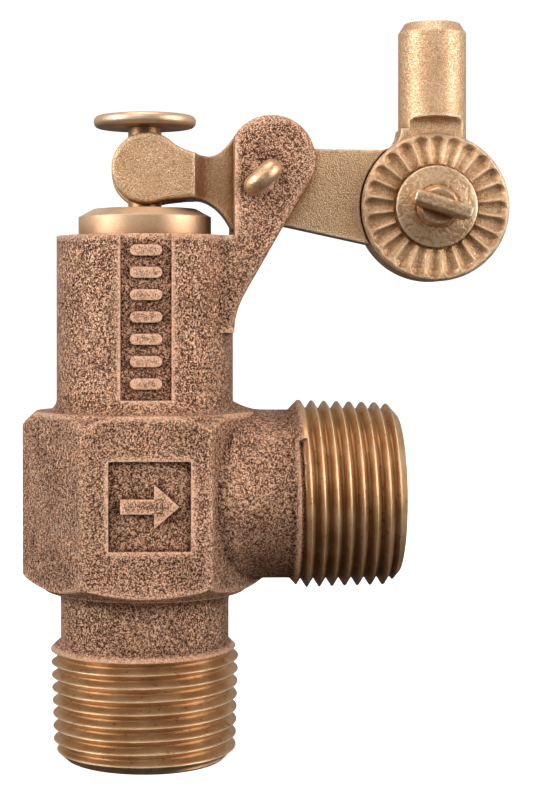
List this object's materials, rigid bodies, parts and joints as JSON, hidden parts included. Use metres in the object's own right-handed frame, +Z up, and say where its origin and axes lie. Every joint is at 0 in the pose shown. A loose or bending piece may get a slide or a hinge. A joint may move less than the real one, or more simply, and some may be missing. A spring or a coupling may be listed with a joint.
{
  "type": "float valve",
  "caption": "Angle-pattern bronze float valve with threaded inlet and outlet, a sliding plunger, and a lever with a serrated swivelling float-rod holder.",
  "frame": {"origin": "centre of the inlet's end face, where the supply pipe's fitting ends", "axes": "+Z up along the inlet, the plunger and the barrel; +X along the outlet; -Y is the front, where the thumb screw's blade is"},
  "size_m": [0.0695, 0.0304, 0.1048],
  "materials": {
    "cast_bronze": "blasted sand casting, machined golden threads",
    "yellow_bronze": "fine investment-like casting, satin",
    "machined_bronze": "machined satin",
    "pin_brass": "drawn wire, satin",
    "rubber": "moulded matt",
    "gasket": "fibre and rubber sheet"
  },
  "bodies": {
    "body": {"valve_body": "cast_bronze", "seat_ring": "machined_bronze", "seat_gasket": "gasket", "pivot_cotter_pin": "pin_brass"},
    "plunger": {"plunger": "machined_bronze", "o_ring_lower": "rubber", "o_ring_upper": "rubber", "seat_disc": "rubber", "disc_retainer": "pin_brass", "disc_screw": "pin_brass", "lift_stud": "machined_bronze"},
    "lever": {"lever": "yellow_bronze"},
    "rod_holder": {"rod_holder": "yellow_bronze"},
    "washer": {"thumb_screw_washer": "yellow_bronze"},
    "thumb_screw": {"thumb_screw": "yellow_bronze"}
  },
  "joints": [
    {"name": "lever_pivot", "type": "hinge", "parent": "body", "child": "lever", "pos_m": [0.0162, 0, 0.08205], "axis": [0, 1, 0], "range_deg": [-10.5, 7.5]},
    {"name": "plunger_slide", "type": "slide", "parent": "body", "child": "plunger", "axis": [0, 0, 1], "range_m": [-0.00295, 0.0021]},
    {"name": "holder_swivel", "type": "hinge", "parent": "lever", "child": "rod_holder", "pos_m": [0.04135, 0, 0.07837], "axis": [0, 1, 0], "range_deg": [0, 150]},
    {"name": "washer_slide", "type": "slide", "parent": "lever", "child": "washer", "axis": [0, -1, 0], "range_m": [0, 0.00211]},
    {"name": "thumb_screw_turn", "type": "hinge", "parent": "washer", "child": "thumb_screw", "pos_m": [0.04135, 0, 0.07837], "axis": [0, -1, 0], "range_deg": [0, 720]}
  ],
  "couplings": [
    {"joint": "plunger_slide", "follows": "lever_pivot", "m_per_rad": 0.0159},
    {"joint": "thumb_screw_turn", "follows": "washer_slide", "rad_per_m": 5936.8}
  ]
}
